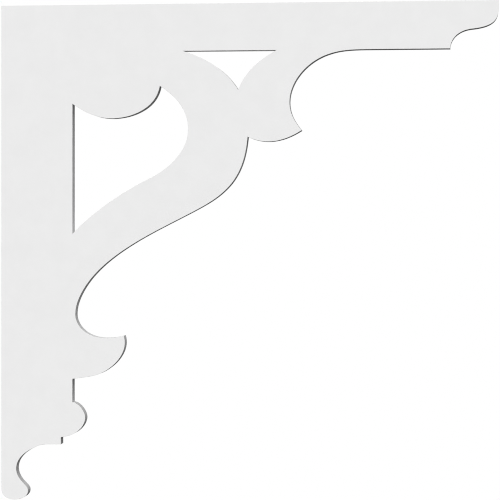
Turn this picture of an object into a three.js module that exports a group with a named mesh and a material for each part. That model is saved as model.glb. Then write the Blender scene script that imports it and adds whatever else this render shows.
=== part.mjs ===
// A scroll-sawn bracket of cellular PVC board, for the corner between a post and a beam.
// One flat board: a post leg, a beam arm, and a scroll brace between them.
// Millimetres. +X runs out along the arm, +Z is up and the board's thickness lies along Y.
// The origin is the middle of the face that is fixed to the post.
import * as THREE from "three";

// Driving sizes
const BOARD_THICKNESS = 19;
const LEG_WIDTH = 111.5;
const ARM_DEPTH = 72;
const BRACE_REACH = 460;        // from the leg's edge to where the cove runs out under the arm
const BRACE_DROP = 503;         // from the arm's underside to the corner below the curl
const PLAIN_ARM_LENGTH = 118;   // straight underside between the cove and the arm's end
const ARM_END_LENGTH = 72.5;
const ARM_NOSE_HEIGHT = 8;      // straight part of the end face, above the ogee
const NECK_HEIGHT = 36;         // plain leg between the curl and the bead
const BEAD_HEIGHT = 54;
const BEAD_PROJECTION = 20;     // how far the bead stands past the leg's edge
const STEP_INSET = 18;          // how far the step stands back from the leg's edge
const STEP_HEIGHT = 11;
const FOOT_HEIGHT = 86;
const FACET_LENGTH = 3;         // longest straight facet on a sawn curve
const LEAST_FACETS = 8;         // on each sweep, however short

const WIDTH = LEG_WIDTH + BRACE_REACH + PLAIN_ARM_LENGTH + ARM_END_LENGTH;
const HEIGHT = ARM_DEPTH + BRACE_DROP + NECK_HEIGHT + BEAD_HEIGHT + STEP_HEIGHT + FOOT_HEIGHT;
const BEAD_TOP = ARM_DEPTH + BRACE_DROP + NECK_HEIGHT;
const FOOT_TOP = HEIGHT - FOOT_HEIGHT;
const STEP_EDGE = LEG_WIDTH - STEP_INSET;

// Sawn curves. Each row is one cubic sweep from where the last one ended: two handles and the
// end, each as a share across and a share down the part of the board that the curve belongs to.

// Brace: shares of its reach and its drop
const COVE = [
  [0.931, 0.000, 0.894, 0.001, 0.850, 0.016],
  [0.776, 0.041, 0.720, 0.108, 0.729, 0.171],
  [0.733, 0.199, 0.747, 0.218, 0.768, 0.243],
];
const TIP_UNDERSIDE = [
  [0.725, 0.268, 0.661, 0.293, 0.589, 0.262],
];
const LONG_SWEEP = [
  [0.583, 0.324, 0.565, 0.381, 0.513, 0.425],
  [0.467, 0.465, 0.411, 0.486, 0.289, 0.544],
  [0.195, 0.589, 0.102, 0.642, 0.050, 0.709],
  [0.029, 0.736, 0.010, 0.770, 0.010, 0.801],
  [0.009, 0.829, 0.033, 0.858, 0.071, 0.869],
  [0.099, 0.877, 0.134, 0.877, 0.174, 0.867],
];
const CURL_UNDERSIDE = [
  [0.187, 0.904, 0.162, 0.939, 0.136, 0.959],
  [0.094, 0.991, 0.068, 0.992, 0.000, 1.000],
];

// Large window: its straight side is the leg's edge
const WINDOW_TOP = 0.159;
const WINDOW_LOBE = [
  [0.044, 0.187, 0.087, 0.205, 0.138, 0.204],
  [0.176, 0.203, 0.221, 0.193, 0.255, 0.168],
  [0.274, 0.154, 0.290, 0.133, 0.295, 0.106],
];
const WINDOW_SWEEP = [
  [0.351, 0.138, 0.391, 0.180, 0.390, 0.240],
  [0.389, 0.301, 0.332, 0.356, 0.259, 0.388],
  [0.171, 0.427, 0.066, 0.491, 0.000, 0.557],
];

// Small window: its straight side is the arm's underside
const SPANDREL_LEFT = 0.371;
const SPANDREL_CURVES = [
  [0.437, 0.018, 0.517, 0.055, 0.557, 0.120],
  [0.579, 0.068, 0.619, 0.033, 0.685, 0.000],
];

// Arm end: shares of its length and of the arm's depth below the straight nose
const ARM_OGEE = [
  [1.000, 0.313, 0.929, 0.485, 0.449, 0.540],
  [0.173, 0.571, 0.000, 0.766, 0.000, 1.000],
];

// Bead: the shoulder in shares of its stand past the leg's edge, the underside past the step's
// edge, both in shares of its height
const BEAD_SHOULDER = [
  [0.502, 0.012, 1.000, 0.274, 1.000, 0.436],
];
const BEAD_UNDERSIDE = [
  [1.000, 0.626, 0.747, 0.946, 0.000, 1.000],
];

// Foot: shares of its width back to the post and of its height
const FOOT_SCROLL = [
  [0.829, 0.000, 0.684, 0.000, 0.619, 0.030],
  [0.405, 0.128, 0.252, 0.257, 0.251, 0.444],
  [0.250, 0.552, 0.306, 0.635, 0.370, 0.705],
  [0.415, 0.754, 0.446, 0.784, 0.449, 0.831],
  [0.455, 0.932, 0.353, 1.000, 0.221, 1.000],
  [0.096, 1.000, 0.000, 0.948, 0.000, 0.779],
];

// Places a share across and a share down inside one part of the board, below the top edge.
function field(left, top, width, height) {
  return (across, down) => [left + across * width, -(top + down * height)];
}

function saw(path, place, sweeps) {
  for (const [a, b, c, d, e, f] of sweeps) {
    path.bezierCurveTo(...place(a, b), ...place(c, d), ...place(e, f));
  }
}

const brace = field(LEG_WIDTH, ARM_DEPTH, BRACE_REACH, BRACE_DROP);

function sawArmEnd(path) {
  path.lineTo(WIDTH, 0);
  path.lineTo(WIDTH, -ARM_NOSE_HEIGHT);
  const end = field(WIDTH - ARM_END_LENGTH, ARM_NOSE_HEIGHT, ARM_END_LENGTH, ARM_DEPTH - ARM_NOSE_HEIGHT);
  saw(path, end, ARM_OGEE);
}

function sawBrace(path) {
  path.lineTo(...brace(1, 0));
  saw(path, brace, [...COVE, ...TIP_UNDERSIDE, ...LONG_SWEEP, ...CURL_UNDERSIDE]);
}

function sawBead(path) {
  path.lineTo(LEG_WIDTH, -BEAD_TOP);
  saw(path, field(LEG_WIDTH, BEAD_TOP, BEAD_PROJECTION, BEAD_HEIGHT), BEAD_SHOULDER);
  const underside = field(STEP_EDGE, BEAD_TOP, STEP_INSET + BEAD_PROJECTION, BEAD_HEIGHT);
  saw(path, underside, BEAD_UNDERSIDE);
}

function sawFoot(path) {
  path.lineTo(STEP_EDGE, -FOOT_TOP);
  saw(path, field(0, FOOT_TOP, STEP_EDGE, FOOT_HEIGHT), FOOT_SCROLL);
}

function boardOutline() {
  const path = new THREE.Path();
  path.moveTo(0, 0);
  sawArmEnd(path);
  sawBrace(path);
  sawBead(path);
  sawFoot(path);
  path.lineTo(0, 0);
  return path;
}

function largeWindow() {
  const path = new THREE.Path();
  path.moveTo(...brace(0, WINDOW_TOP));
  saw(path, brace, [...WINDOW_LOBE, ...WINDOW_SWEEP]);
  path.lineTo(...brace(0, WINDOW_TOP));
  return path;
}

function smallWindow() {
  const path = new THREE.Path();
  path.moveTo(...brace(SPANDREL_LEFT, 0));
  saw(path, brace, SPANDREL_CURVES);
  path.lineTo(...brace(SPANDREL_LEFT, 0));
  return path;
}

// Straight sides keep their two ends; a sawn curve is cut into facets of even length.
function facets(path) {
  const points = [];
  for (const curve of path.curves) {
    const sweep = Math.max(LEAST_FACETS, Math.ceil(curve.getLength() / FACET_LENGTH));
    points.push(...curve.getSpacedPoints(curve.isLineCurve ? 1 : sweep).slice(0, -1));
  }
  return points;
}

function bracketBoard() {
  // Wound anticlockwise, the board's edge lets its windows be drawn either way round.
  const face = new THREE.Shape(facets(boardOutline()).reverse());
  face.holes = [largeWindow(), smallWindow()].map((window) => new THREE.Path(facets(window)));
  const geometry = new THREE.ExtrudeGeometry(face, { depth: BOARD_THICKNESS, bevelEnabled: false });
  // The face was drawn flat: stand it up, with the thickness centred on Y.
  geometry.rotateX(Math.PI / 2);
  geometry.translate(0, BOARD_THICKNESS / 2, HEIGHT / 2);
  const whitePvc = new THREE.MeshStandardMaterial({ color: 0xececec, roughness: 0.55, metalness: 0 });
  const board = new THREE.Mesh(geometry, whitePvc);
  board.name = "bracket";
  return board;
}

const bracket = new THREE.Group();
bracket.add(bracketBoard());

export default bracket;
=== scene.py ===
"""A scroll-sawn bracket of white cellular PVC board, hung in soft studio light.

The board's outline and windows come from the fixed model. Here its sawn curves are made smooth,
its arrises are eased, and its calendered faces and routed edges get their finishes.
"""

import logging
import math
from dataclasses import dataclass, field
from enum import Enum

import bpy
from mathutils import Euler, Matrix, Vector
from mathutils.geometry import delaunay_2d_cdt, interpolate_bezier


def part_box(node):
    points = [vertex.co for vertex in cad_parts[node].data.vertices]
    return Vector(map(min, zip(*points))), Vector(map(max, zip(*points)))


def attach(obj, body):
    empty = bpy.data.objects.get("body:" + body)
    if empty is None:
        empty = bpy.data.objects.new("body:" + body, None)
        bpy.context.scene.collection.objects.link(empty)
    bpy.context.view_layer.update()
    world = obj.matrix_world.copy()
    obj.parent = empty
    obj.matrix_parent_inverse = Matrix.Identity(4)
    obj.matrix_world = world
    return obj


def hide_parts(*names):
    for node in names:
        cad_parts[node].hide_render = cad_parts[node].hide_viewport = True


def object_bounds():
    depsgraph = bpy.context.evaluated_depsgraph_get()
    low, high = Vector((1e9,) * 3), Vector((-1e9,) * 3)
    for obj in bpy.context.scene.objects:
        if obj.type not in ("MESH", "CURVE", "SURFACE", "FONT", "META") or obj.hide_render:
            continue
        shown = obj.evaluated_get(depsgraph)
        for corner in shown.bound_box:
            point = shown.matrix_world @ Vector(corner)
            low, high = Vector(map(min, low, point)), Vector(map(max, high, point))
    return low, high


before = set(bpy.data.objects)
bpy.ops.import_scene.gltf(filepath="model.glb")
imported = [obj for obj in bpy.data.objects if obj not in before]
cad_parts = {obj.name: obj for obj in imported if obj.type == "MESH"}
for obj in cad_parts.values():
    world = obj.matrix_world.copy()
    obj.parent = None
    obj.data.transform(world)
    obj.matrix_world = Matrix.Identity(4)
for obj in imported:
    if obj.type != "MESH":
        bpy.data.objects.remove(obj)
CAD_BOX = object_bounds()

MM = 0.001
WHITE = "#ffffff"
LONGEST_MITRE = 2.0       # a mitre reaches at most this many times its depth from a corner
PLACE_DIGITS = 6          # points whose metres agree to this many decimals are one point
IN_PLANE = 1e-5           # how near to a plane its own points lie, in metres
MERGE_WITHIN = 1e-7       # points nearer than this are one to the triangulation, in metres
TRIANGLES_INSIDE = 1      # the triangulation's number for keeping only what its outlines hold

# The sockets of a Mix node that blends two colours, by number
MIX_SHARE = 0
MIX_FROM = 6
MIX_TO = 7
MIX_RESULT = 2

log = logging.getLogger("bracket")


class Side(Enum):
    """The board's two faces, by the sign of Y that each one looks along."""

    FRONT = -1.0
    BACK = 1.0


class Slot(Enum):
    """Which finish a face of the board's mesh wears."""

    SKIN = 0
    EDGE = 1


def linear(hex_colour: str) -> tuple[float, float, float, float]:
    """Turns an sRGB hex colour into linear light.

    Args:
        hex_colour: six hex digits after a hash sign.

    Returns:
        Red, green, blue and an alpha of one, as a shader socket takes them.
    """
    shares = [int(hex_colour[i:i + 2], 16) / 255 for i in (1, 3, 5)]
    # The numbers in the next line are the sRGB standard's own.
    rgb = [s / 12.92 if s <= 0.04045 else ((s + 0.055) / 1.055) ** 2.4 for s in shares]
    return (*rgb, 1.0)


def add_node(tree: bpy.types.NodeTree, kind: str, settings: dict | None = None,
             links: dict | None = None) -> bpy.types.Node:
    """Adds one shader node with its settings and what feeds it.

    Args:
        tree: the node tree that it goes into.
        kind: the node's Blender type name.
        settings: attribute names of the node, or names or numbers of its sockets, and their
            values.
        links: names or numbers of its sockets, and the output socket that feeds each.

    Returns:
        The new node.
    """
    node = tree.nodes.new(kind)
    for name, value in (settings or {}).items():
        if isinstance(name, str) and hasattr(node, name):
            setattr(node, name, value)
        else:
            node.inputs[name].default_value = value
    for name, source in (links or {}).items():
        tree.links.new(source, node.inputs[name])
    return node


def start_material(name: str, settings: dict) -> tuple[bpy.types.Material, bpy.types.Node]:
    """Starts a material with what is the same all over its surface.

    Args:
        name: the material's name.
        settings: names of its surface shader's sockets, and their values.

    Returns:
        The material and its surface shader.
    """
    material = bpy.data.materials.new(name)
    material.use_nodes = True
    surface = material.node_tree.nodes["Principled BSDF"]
    for socket, value in settings.items():
        surface.inputs[socket].default_value = value
    return material, surface


@dataclass(frozen=True)
class CalenderedSkin:
    """Cellular PVC board's own skin, rolled smooth between chilled rollers.

    It gives the eye a flat, even, nearly matt white, with a very faint cloudiness where the
    foam below is a little denser, and a fine orange peel in glancing light.

    Attributes:
        name: the material's name.
        base: its colour.
        cloud: its colour over denser foam.
        ior: its index of refraction.
        roughness: how matt it is.
        cloud_mm: how far apart its clouds lie.
        cloud_detail: the sizes of smaller clouds within each.
        cloud_raggedness: how strongly those show.
        cloud_span: the levels of noise where a cloud starts and where it is full.
        peel_mm: how far apart the dimples of its orange peel lie.
        peel_detail: the sizes of smaller dimples between them.
        peel_height_mm: how deep the dimples are.
        peel_strength: how much of that depth the light shows.
    """

    name: str = "cellular_pvc_calendered_skin"
    base: str = "#eeeeee"
    cloud: str = "#ececec"
    ior: float = 1.53
    roughness: float = 0.5
    cloud_mm: float = 28.0
    cloud_detail: float = 3.0
    cloud_raggedness: float = 0.6
    cloud_span: tuple[float, float] = (0.35, 0.65)
    peel_mm: float = 1.6
    peel_detail: float = 1.0
    peel_height_mm: float = 0.012
    peel_strength: float = 0.6

    def material(self) -> bpy.types.Material:
        """Builds the skin's material.

        Returns:
            The material, with its pattern in the object's own coordinates.
        """
        material, surface = start_material(
            self.name, {"IOR": self.ior, "Roughness": self.roughness})
        tree = material.node_tree
        place = add_node(tree, "ShaderNodeTexCoord").outputs["Object"]
        clouds = add_node(tree, "ShaderNodeTexNoise",
                          {"Scale": 1 / (self.cloud_mm * MM), "Detail": self.cloud_detail,
                           "Roughness": self.cloud_raggedness}, {"Vector": place})
        starts, full = self.cloud_span
        shade = add_node(tree, "ShaderNodeMapRange", {"From Min": starts, "From Max": full},
                         {"Value": clouds.outputs[0]})
        colour = add_node(tree, "ShaderNodeMix",
                          {"data_type": "RGBA", MIX_FROM: linear(self.base),
                           MIX_TO: linear(self.cloud)}, {MIX_SHARE: shade.outputs[0]})
        tree.links.new(colour.outputs[MIX_RESULT], surface.inputs["Base Color"])
        # Real orange peel is about 0.5 mm across: it is drawn three times as coarse to show.
        peel = add_node(tree, "ShaderNodeTexNoise",
                        {"Scale": 1 / (self.peel_mm * MM), "Detail": self.peel_detail},
                        {"Vector": place})
        bump = add_node(tree, "ShaderNodeBump",
                        {"Strength": self.peel_strength, "Distance": self.peel_height_mm * MM},
                        {"Height": peel.outputs[0]})
        tree.links.new(bump.outputs[0], surface.inputs["Normal"])
        return material


@dataclass(frozen=True)
class RoutedEdge:
    """The same PVC where a router has cut through its foam core.

    It gives the eye a white a shade softer than the skin's, dead matt, with the cutter's marks
    across the thickness and the tiny open cells of the foam, each darkened by painted shade.

    Attributes:
        name: the material's name.
        base: its colour between the cells.
        cell: its colour inside an open cell.
        burnish: its colour where the cutter has rubbed it.
        ior: its index of refraction.
        specular: how much shine the torn foam keeps, where half is usual.
        roughness: how matt it is.
        cell_mm: how far apart the cells lie.
        cell_span: how far from a cell's middle its wall starts and is whole, in cell spacings.
        cell_height_mm: how deep an open cell is.
        cutter_mm: how far apart the cutter's marks lie.
        cutter_detail: the sizes of smaller marks between them.
        cutter_span: the levels of noise where a mark ends and where the clean cut starts.
        cutter_height_mm: how deep the marks are.
        along_to_across: how many times as long as it is wide a mark is.
        relief: how much of those depths the light shows.
    """

    name: str = "cellular_pvc_routed_edge"
    base: str = "#eeeeee"
    cell: str = "#d6d6d6"
    burnish: str = "#dedede"
    ior: float = 1.5
    specular: float = 0.1
    roughness: float = 0.85
    cell_mm: float = 1.2
    cell_span: tuple[float, float] = (0.1, 0.4)
    cell_height_mm: float = 0.12
    cutter_mm: float = 3.0
    cutter_detail: float = 2.0
    cutter_span: tuple[float, float] = (0.3, 0.7)
    cutter_height_mm: float = 0.2
    along_to_across: float = 30.0
    relief: float = 0.5

    def material(self) -> bpy.types.Material:
        """Builds the cut edge's material.

        Returns:
            The material. Its cutter marks follow the map that runs round each sawn edge.
        """
        material, surface = start_material(
            self.name, {"IOR": self.ior, "Roughness": self.roughness,
                        "Specular IOR Level": self.specular})
        tree = material.node_tree
        coordinates = add_node(tree, "ShaderNodeTexCoord")
        walls = self.cell_walls(tree, coordinates.outputs["Object"])
        clean = self.clean_cut(tree, coordinates.outputs["UV"])
        # Inside each open cell the colour turns to a darker grey: painted shade in the pits, which
        # the bump below also sinks.
        foam = add_node(tree, "ShaderNodeMix",
                        {"data_type": "RGBA", MIX_FROM: linear(self.cell),
                         MIX_TO: linear(self.base)}, {MIX_SHARE: walls})
        colour = add_node(tree, "ShaderNodeMix",
                          {"data_type": "RGBA", MIX_FROM: linear(self.burnish)},
                          {MIX_SHARE: clean, MIX_TO: foam.outputs[MIX_RESULT]})
        tree.links.new(colour.outputs[MIX_RESULT], surface.inputs["Base Color"])
        pits = add_node(tree, "ShaderNodeBump",
                        {"Strength": self.relief, "Distance": self.cell_height_mm * MM},
                        {"Height": walls})
        ridges = add_node(tree, "ShaderNodeBump",
                          {"Strength": self.relief, "Distance": self.cutter_height_mm * MM},
                          {"Height": clean, "Normal": pits.outputs[0]})
        tree.links.new(ridges.outputs[0], surface.inputs["Normal"])
        return material

    def cell_walls(self, tree: bpy.types.NodeTree,
                   place: bpy.types.NodeSocket) -> bpy.types.NodeSocket:
        """Makes the pattern of the foam's cells.

        Args:
            tree: the material's node tree.
            place: the object's own coordinates.

        Returns:
            A level of nought inside an open cell and one on the walls between cells.
        """
        # Real cells are about 0.2 mm across: they are drawn six times as coarse to show.
        cells = add_node(tree, "ShaderNodeTexVoronoi", {"Scale": 1 / (self.cell_mm * MM)},
                         {"Vector": place})
        starts, whole = self.cell_span
        walls = add_node(tree, "ShaderNodeMapRange", {"From Min": starts, "From Max": whole},
                         {"Value": cells.outputs["Distance"]})
        return walls.outputs[0]

    def clean_cut(self, tree: bpy.types.NodeTree,
                  cut_map: bpy.types.NodeSocket) -> bpy.types.NodeSocket:
        """Makes the pattern of the cutter's marks.

        Args:
            tree: the material's node tree.
            cut_map: the map that runs along the cut and across it, in metres.

        Returns:
            A level of nought on a mark and one on the clean cut between marks.
        """
        # Noise stretched across the cut makes the lines that the cutter left. A real cutter
        # leaves them 1 to 2 mm apart: they are drawn twice that.
        pitch = 1 / (self.cutter_mm * MM)
        along = add_node(tree, "ShaderNodeMapping",
                         {"Scale": (pitch, pitch / self.along_to_across, 1.0)},
                         {"Vector": cut_map})
        lines = add_node(tree, "ShaderNodeTexNoise",
                         {"Scale": 1.0, "Detail": self.cutter_detail},
                         {"Vector": along.outputs[0]})
        ends, starts = self.cutter_span
        clean = add_node(tree, "ShaderNodeMapRange", {"From Min": ends, "From Max": starts},
                         {"Value": lines.outputs[0]})
        return clean.outputs[0]


@dataclass(frozen=True)
class StudioFloorPaint:
    """Matt emulsion on the studio floor.

    It gives the eye a pale grey with no shine, which thins away into the white backdrop.

    Attributes:
        name: the material's name.
        base: its colour.
        ior: its index of refraction.
        roughness: how matt it is.
        solid: the share of the floor's reach over which it is unbroken.
    """

    name: str = "matt_emulsion_floor"
    base: str = "#f2f2f0"
    ior: float = 1.45
    roughness: float = 0.9
    solid: float = 0.45

    def material(self, reach: float) -> bpy.types.Material:
        """Builds the floor paint.

        Args:
            reach: how far from the floor's middle the paint goes, in metres.

        Returns:
            The material, in coordinates that start at the floor's middle.
        """
        material, surface = start_material(
            self.name, {"Base Color": linear(self.base), "IOR": self.ior,
                        "Roughness": self.roughness})
        tree = material.node_tree
        place = add_node(tree, "ShaderNodeTexCoord").outputs["Object"]
        away = add_node(tree, "ShaderNodeVectorMath", {"operation": "LENGTH"}, {0: place})
        thin = add_node(tree, "ShaderNodeMapRange",
                        {"interpolation_type": "SMOOTHSTEP", "From Min": self.solid * reach,
                         "From Max": reach}, {"Value": away.outputs["Value"]})
        bare = add_node(tree, "ShaderNodeBsdfTransparent")
        both = add_node(tree, "ShaderNodeMixShader",
                        links={0: thin.outputs[0], 1: surface.outputs[0], 2: bare.outputs[0]})
        tree.links.new(both.outputs[0], tree.nodes["Material Output"].inputs["Surface"])
        return material


@dataclass
class BoardMesh:
    """The board's mesh while it is being made.

    Attributes:
        points: the places of its points, in metres.
        faces: each face's points, by number.
        slots: each face's finish.
        maps: each face's corners on its map, in metres: along a cut and across it, or on the
            board's two faces across the board and up it.
        creases: the pairs of points whose edge stays sharp.
    """

    points: list[tuple[float, float, float]] = field(default_factory=list)
    faces: list[tuple[int, ...]] = field(default_factory=list)
    slots: list[Slot] = field(default_factory=list)
    maps: list[tuple[tuple[float, float], ...]] = field(default_factory=list)
    creases: set[tuple[int, int]] = field(default_factory=set)

    def add(self, corners: tuple[int, ...], slot: Slot,
            places: tuple[tuple[float, float], ...]) -> None:
        """Adds a face.

        Args:
            corners: its points, by number, anticlockwise from outside.
            slot: its finish.
            places: its corners on the map.
        """
        self.faces.append(corners)
        self.slots.append(slot)
        self.maps.append(places)

    def finished(self, name: str) -> bpy.types.Mesh:
        """Turns the lists into a smooth-shaded mesh with its sharp edges and its map.

        Args:
            name: the mesh's name.

        Returns:
            The mesh.
        """
        mesh = bpy.data.meshes.new(name)
        mesh.from_pydata(self.points, [], self.faces)
        layer = mesh.uv_layers.new(name="along_the_cut")
        for polygon, slot, places in zip(mesh.polygons, self.slots, self.maps):
            polygon.use_smooth = True
            polygon.material_index = slot.value
            for corner, place in zip(polygon.loop_indices, places):
                layer.data[corner].uv = place
        for edge in mesh.edges:
            edge.use_edge_sharp = tuple(sorted(edge.vertices)) in self.creases
        return mesh


@dataclass
class SawnCut:
    """One closed cut through the board, seen from its front, with the board on its left.

    Attributes:
        points: the cut's points in the board's plane, in metres.
        corners: for each point, whether two cuts meet there at a corner.
    """

    points: list[Vector]
    corners: list[bool]

    def after(self, i: int) -> Vector:
        """Gives the point after one of the cut's points."""
        return self.points[(i + 1) % len(self.points)]

    def within(self, i: int, depth: float) -> Vector:
        """Steps from one point of the cut into the board.

        Args:
            i: the point's number.
            depth: how far from the cut, in metres.

        Returns:
            The place inside the board, mitred at a corner.
        """
        here = self.points[i]
        before = (here - self.points[i - 1]).normalized()
        onward = (self.after(i) - here).normalized()
        # The two directions, each turned a quarter to its left, add up to an arrow as long as
        # twice the cosine of half the turn between them, and the mitre is one over that cosine.
        inward = Vector((-before.y - onward.y, before.x + onward.x))
        mitre = 2 / max(inward.length, 2 / LONGEST_MITRE)
        return here + inward.normalized() * depth * mitre


def turn_between(first: Vector, second: Vector) -> float:
    """Measures the turn from one direction in the board's plane to another.

    Args:
        first: the first direction.
        second: the second direction.

    Returns:
        The turn in radians, anticlockwise positive.
    """
    return math.atan2(first.x * second.y - first.y * second.x, first.dot(second))


@dataclass
class SawnCurves:
    """Turns the flat facets of the solid's cuts back into the smooth curves they stand for.

    Attributes:
        corner_turn: the least turn between two facets that is a real corner, in degrees.
        straight_mm: a facet longer than this is a straight cut.
        step_mm: the length of a step along a smooth cut.
    """

    corner_turn: float = 40.0
    straight_mm: float = 3.5
    step_mm: float = 1.0

    def borders(self, node: str, front: float) -> dict[tuple, tuple]:
        """Finds the edges that bound the solid's front face.

        Args:
            node: the solid's name.
            front: where its front face lies along Y.

        Returns:
            The place where each such edge starts, and the place where it ends.
        """
        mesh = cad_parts[node].data
        places = [tuple(round(c, PLACE_DIGITS) for c in v.co) for v in mesh.vertices]
        found: set[tuple] = set()
        for polygon in mesh.polygons:
            corners = [places[i] for i in polygon.vertices]
            if any(abs(y - front) > IN_PLANE for _, y, _ in corners):
                continue
            # Two faces share each inner edge, once in either direction, and so it drops out.
            for a, b in zip(corners, corners[1:] + corners[:1]):
                if (b, a) in found:
                    found.remove((b, a))
                else:
                    found.add((a, b))
        return dict(sorted(found))

    def outlines(self, node: str, front: float) -> list[list[Vector]]:
        """Follows the edges of the solid's front face round each closed cut.

        Args:
            node: the solid's name.
            front: where its front face lies along Y.

        Returns:
            The facet points of each closed cut, with the board on its left. The board's own
            outline comes first, before its windows.
        """
        following = self.borders(node, front)
        outlines = []
        while following:
            start, place = following.popitem()
            outline = [start]
            while place != start:
                outline.append(place)
                place = following.pop(place)
            outlines.append([Vector((x, z)) for x, _, z in outline])
        return sorted(outlines, key=len, reverse=True)

    def smooth(self, facets: list[Vector]) -> SawnCut:
        """Draws a smooth cut through the solid's facet points.

        Args:
            facets: the facet points of one closed cut.

        Returns:
            The cut in short steps, with its corners marked.
        """
        count = len(facets)
        ways = [facets[(i + 1) % count] - facets[i] for i in range(count)]
        corners = [abs(turn_between(ways[i - 1], ways[i])) > math.radians(self.corner_turn)
                   for i in range(count)]
        cut = SawnCut([], [])
        for i, way in enumerate(ways):
            onto = (i + 1) % count
            stretch = [facets[i]]
            if not self.is_straight(way):
                leave = self.heading(ways, corners, i, True)
                arrive = self.heading(ways, corners, onto, False)
                stretch = self.curve(facets[i], facets[onto], leave, arrive)
            cut.points += stretch
            cut.corners += [corners[i]] + [False] * (len(stretch) - 1)
        return cut

    def is_straight(self, way: Vector) -> bool:
        """Says whether a facet is a straight cut of its own."""
        return way.length > self.straight_mm * MM

    def curve(self, start: Vector, end: Vector, leave: Vector, arrive: Vector) -> list[Vector]:
        """Draws the curve that one facet stands for.

        Args:
            start: where it starts.
            end: where it ends.
            leave: its direction where it starts, of length one.
            arrive: its direction where it ends, of length one.

        Returns:
            Its points in short steps, without the last.
        """
        length = (end - start).length
        steps = max(1, round(length / (self.step_mm * MM)))
        # A cubic's handles are a third as long as the way between its ends.
        points = (start, start + leave * length / 3, end - arrive * length / 3, end)
        handles = [point.to_3d() for point in points]
        return [point.to_2d() for point in interpolate_bezier(*handles, steps + 1)[:-1]]

    def heading(self, ways: list[Vector], corners: list[bool], i: int, leaving: bool) -> Vector:
        """Finds the smooth cut's direction where it passes one of the facet points.

        Args:
            ways: the facet that leaves each point.
            corners: whether each point is a corner.
            i: the point's number.
            leaving: whether the direction is wanted for the facet after the point.

        Returns:
            The direction, of length one.
        """
        before, after = ways[i - 1], ways[i]
        if corners[i]:
            near, beyond = (after, ways[(i + 1) % len(ways)]) if leaving else (before, ways[i - 2])
            # The cut keeps its bend right up to a corner, unless the next point is one too.
            bend = turn_between(near, beyond)
            bend = bend / 2 if abs(bend) < math.radians(self.corner_turn) else 0.0
            way = near.normalized()
            return Vector((way.x * math.cos(bend) + way.y * math.sin(bend),
                           way.y * math.cos(bend) - way.x * math.sin(bend)))
        for way in (before, after):
            if self.is_straight(way):
                return way.normalized()
        # The shorter facet counts for more, because its middle lies nearer.
        return (before / before.length ** 2 + after / after.length ** 2).normalized()


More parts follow.
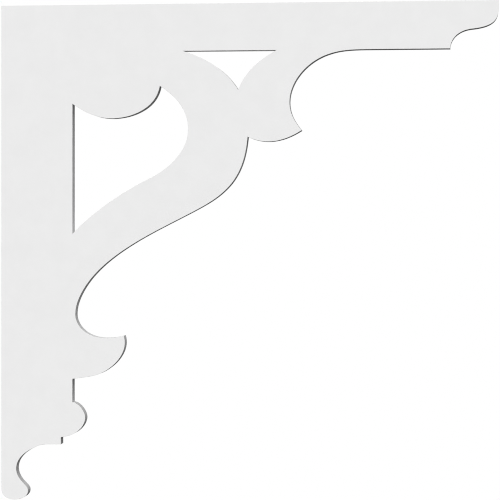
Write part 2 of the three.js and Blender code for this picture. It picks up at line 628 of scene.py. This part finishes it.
@dataclass
class ScrollBoard:
    """The bracket itself: one board, sawn round its outline and through its two windows.

    Attributes:
        name: the board's name.
        node: the solid that it stands for.
        arris_mm: the radius that takes the sharpness off each arris.
        arris_steps: the faces round that radius.
        land_mm: a flat strip beside each arris that keeps the faces' shading flat.
        wall_steps: the faces across the board's thickness.
        curves: how its cuts are made smooth.
        skin: the finish of its two faces.
        edge: the finish of its cut edges.
    """

    name: str = "bracket_board"
    node: str = "bracket"
    arris_mm: float = 0.35
    arris_steps: int = 3
    land_mm: float = 0.25
    wall_steps: int = 4
    curves: SawnCurves = field(default_factory=SawnCurves)
    skin: CalenderedSkin = field(default_factory=CalenderedSkin)
    edge: RoutedEdge = field(default_factory=RoutedEdge)

    def build(self) -> bpy.types.Object:
        """Makes the board in the place of its solid.

        Returns:
            The board.
        """
        low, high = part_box(self.node)
        cuts = [self.curves.smooth(facets) for facets in self.curves.outlines(self.node, low[1])]
        section = self.section((high[1] - low[1]) / 2)
        made = BoardMesh()
        starts = [self.wall(made, cut, section) for cut in cuts]
        for side in Side:
            self.face(made, side, cuts, starts, len(section))
        board = bpy.data.objects.new(self.name, made.finished(self.name))
        bpy.context.scene.collection.objects.link(board)
        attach(board, "root")
        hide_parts(self.node)
        return board

    def dress(self, board: bpy.types.Object) -> None:
        """Gives the board its finishes, in the order of Slot.

        Args:
            board: the board's object.
        """
        for finish in (self.skin, self.edge):
            board.data.materials.append(finish.material())

    def section(self, half: float) -> list[tuple[float, float]]:
        """Draws the board's edge across its thickness, from the front face to the back.

        Args:
            half: half the board's thickness.

        Returns:
            The depth within the cut, and the Y, of each ring of points.
        """
        radius, land = self.arris_mm * MM, self.land_mm * MM
        angles = [math.pi / 2 * k / self.arris_steps for k in range(self.arris_steps + 1)]
        eased = [(radius + land, half)]
        eased += [(radius - radius * math.sin(angle), half - radius + radius * math.cos(angle))
                  for angle in angles]
        straight = half - radius - land
        middle = [(0.0, straight * (2 * k / self.wall_steps - 1))
                  for k in range(self.wall_steps + 1)]
        return [(depth, -y) for depth, y in eased] + middle + eased[::-1]

    def wall(self, made: BoardMesh, cut: SawnCut, section: list[tuple[float, float]]) -> int:
        """Makes one cut's wall, with its two arrises and the lands beside them.

        Args:
            made: the mesh that it is added to.
            cut: the cut.
            section: the rings across the thickness.

        Returns:
            The number of the wall's first point.
        """
        start, count = len(made.points), len(cut.points)
        for depth, y in section:
            ring = [cut.within(i, depth) for i in range(count)]
            made.points += [(place.x, y, place.y) for place in ring]
        run = 0.0
        for i in range(count):
            step = (cut.after(i) - cut.points[i]).length
            for k in range(len(section) - 1):
                here = start + k * count + i
                onward = start + k * count + (i + 1) % count
                y0, y1 = section[k][1], section[k + 1][1]
                # A strip that stays at one Y is a land, and belongs to the face beside it.
                slot = Slot.SKIN if y0 == y1 else Slot.EDGE
                places = ((run, y0), (run, y1), (run + step, y1), (run + step, y0))
                made.add((here, here + count, onward + count, onward), slot, places)
                if cut.corners[i] and slot is Slot.EDGE:
                    made.creases.add((here, here + count))
            run += step
        return start

    def face(self, made: BoardMesh, side: Side, cuts: list[SawnCut], starts: list[int],
             rings: int) -> None:
        """Fills one face of the board, inside its outline and round its windows.

        Args:
            made: the mesh that it is added to.
            side: which face.
            cuts: the board's cuts, its outline first.
            starts: the number of each cut's first point.
            rings: how many rings of points each cut has.
        """
        numbers: list[int] = []
        outlines: list[list[int]] = []
        for cut, start in zip(cuts, starts):
            count = len(cut.points)
            first = start + (count * (rings - 1) if side is Side.BACK else 0)
            outlines.append(list(range(len(numbers), len(numbers) + count)))
            numbers += range(first, first + count)
        flat = [Vector((made.points[n][0], made.points[n][2])) for n in numbers]
        # The triangulation takes every outline anticlockwise, and a window's runs clockwise.
        for window in outlines[1:]:
            window.reverse()
        _, _, triangles, origins, _, insides = delaunay_2d_cdt(
            flat, [], outlines, TRIANGLES_INSIDE, MERGE_WITHIN)
        for triangle, inside in zip(triangles, insides):
            # What lies inside two outlines is a window.
            if len(inside) > 1:
                continue
            corners = [numbers[origins[i][0]] for i in triangle]
            a, b, c = (Vector(made.points[n]) for n in corners)
            if (b - a).cross(c - a).y * side.value < 0:
                corners.reverse()
            places = tuple((made.points[n][0], made.points[n][2]) for n in corners)
            made.add(tuple(corners), Slot.SKIN, places)


@dataclass
class Studio:
    """A plain pale floor, an even dome of soft light, and soft front and back lights.

    Attributes:
        floor_drop: how far the floor lies below the foot, in metres.
        floor_reach: the radius of the floor round the board's middle, in metres.
        floor_sides: the straight sides of its rim.
        paint: what the floor is painted with.
        dome: the brightness straight overhead, from where it falls evenly to the horizon.
        ground: the brightness of the light from below.
        front: the strength of the light on the front face.
        back: the strength of the light on the back face.
        height: how high the front and back lights stand, in degrees.
        softness: how wide those lights look from the board, in degrees.
        stand_off: how far from the board those lights are drawn, in metres.
        pixel_blur: how far a pixel takes in light from round it, in pixels.
    """

    floor_drop: float = 0.15
    floor_reach: float = 1.1
    floor_sides: int = 96
    paint: StudioFloorPaint = field(default_factory=StudioFloorPaint)
    dome: float = 1.18
    ground: float = 0.09
    front: float = 2.26
    back: float = 2.2
    height: float = 5.0
    softness: float = 8.0
    stand_off: float = 3.0
    pixel_blur: float = 1.1

    def build(self) -> None:
        """Makes the floor, the dome and the two lights, and sets how the picture is taken."""
        self.lay_floor()
        self.light_dome()
        self.light("front_softbox", self.front, Side.FRONT)
        self.light("back_softbox", self.back, Side.BACK)
        bpy.context.scene.view_settings.view_transform = "Standard"
        bpy.context.scene.cycles.filter_width = self.pixel_blur

    def lay_floor(self) -> None:
        """Lays a round floor, which takes no part in lighting the board from below."""
        middle = (CAD_BOX[0] + CAD_BOX[1]) / 2
        mesh = bpy.data.meshes.new("floor")
        rim = [math.tau * k / self.floor_sides for k in range(self.floor_sides)]
        reach = self.floor_reach
        mesh.from_pydata([(reach * math.cos(a), reach * math.sin(a), 0.0) for a in rim], [],
                         [tuple(range(self.floor_sides))])
        floor = bpy.data.objects.new("floor", mesh)
        floor.location = (middle.x, middle.y, CAD_BOX[0].z - self.floor_drop)
        floor.data.materials.append(self.paint.material(reach))
        floor.visible_diffuse = False
        floor.visible_glossy = False
        bpy.context.scene.collection.objects.link(floor)

    def light_dome(self) -> None:
        """Lights the surroundings more the higher they are, behind a white backdrop."""
        world = bpy.data.worlds.new("studio")
        bpy.context.scene.world = world
        world.use_nodes = True
        tree = world.node_tree
        tree.nodes.clear()
        way = add_node(tree, "ShaderNodeTexCoord").outputs["Generated"]
        height = add_node(tree, "ShaderNodeSeparateXYZ", links={"Vector": way}).outputs["Z"]
        # From the zenith down the dome dims evenly, until it is as dim as the light from below.
        level = add_node(tree, "ShaderNodeMapRange",
                         {"From Min": self.ground / self.dome, "From Max": 1.0,
                          "To Min": self.ground, "To Max": self.dome}, {"Value": height})
        dome = add_node(tree, "ShaderNodeBackground", {"Color": linear(WHITE)},
                        {"Strength": level.outputs[0]})
        backdrop = add_node(tree, "ShaderNodeBackground", {"Color": linear(WHITE)})
        seen = add_node(tree, "ShaderNodeLightPath").outputs["Is Camera Ray"]
        both = add_node(tree, "ShaderNodeMixShader",
                        links={0: seen, 1: dome.outputs[0], 2: backdrop.outputs[0]})
        add_node(tree, "ShaderNodeOutputWorld", links={"Surface": both.outputs[0]})

    def light(self, name: str, strength: float, side: Side) -> None:
        """Hangs one large soft light square to a face of the board.

        Args:
            name: the light's name.
            strength: its strength.
            side: the face that it lights.
        """
        lamp = bpy.data.lights.new(name, "SUN")
        lamp.energy = strength
        lamp.angle = math.radians(self.softness)
        light = bpy.data.objects.new(name, lamp)
        rise = math.radians(self.height)
        towards = Vector((0.0, -side.value * math.cos(rise), -math.sin(rise)))
        light.rotation_mode = "QUATERNION"
        light.rotation_quaternion = towards.to_track_quat("-Z", "Y")
        light.location = -towards * self.stand_off
        light.visible_glossy = False
        bpy.context.scene.collection.objects.link(light)


@dataclass
class PhotoCamera:
    """The camera where the photograph was taken from.

    Attributes:
        place: where it stands, in metres.
        turn: how far it is turned from straight ahead towards the post, in degrees.
        lift: how far it is tilted up, in degrees.
        roll: how far it leans over anticlockwise, in degrees.
        lens_mm: its focal length.
        sensor_mm: the width of its sensor.
        shift_y: how far the frame is shifted up from its axis, as a share of its width.
    """

    place: tuple[float, float, float] = (0.707, -2.9934, 0.0341)
    turn: float = 6.135
    lift: float = -0.338
    roll: float = 0.048
    lens_mm: float = 141.84
    sensor_mm: float = 36.0
    shift_y: float = -0.0152

    def build(self) -> None:
        """Makes the camera and gives it to the scene."""
        data = bpy.data.cameras.new("camera")
        data.sensor_width = self.sensor_mm
        data.lens = self.lens_mm
        data.shift_y = self.shift_y
        camera = bpy.data.objects.new("camera", data)
        # A camera that isn't turned looks straight down, 90 degrees below level.
        aim = Euler((math.radians(90.0 + self.lift), 0.0, math.radians(self.turn)))
        lean = Matrix.Rotation(math.radians(self.roll), 4, "Z")
        camera.matrix_world = Matrix.Translation(self.place) @ aim.to_matrix().to_4x4() @ lean
        bpy.context.scene.collection.objects.link(camera)
        bpy.context.scene.camera = camera


def main() -> None:
    """Builds and dresses the bracket, then its studio, and reports each piece."""
    logging.basicConfig(level=logging.INFO, format="%(name)s: %(message)s")
    board = ScrollBoard()
    piece = board.build()
    board.dress(piece)
    log.info("%s: %d faces, %d points", piece.name, len(piece.data.polygons),
             len(piece.data.vertices))
    Studio().build()
    log.info("studio: floor, dome, front and back lights")
    PhotoCamera().build()
    log.info("camera at the photograph's angle")


if __name__ == "__main__":
    main()
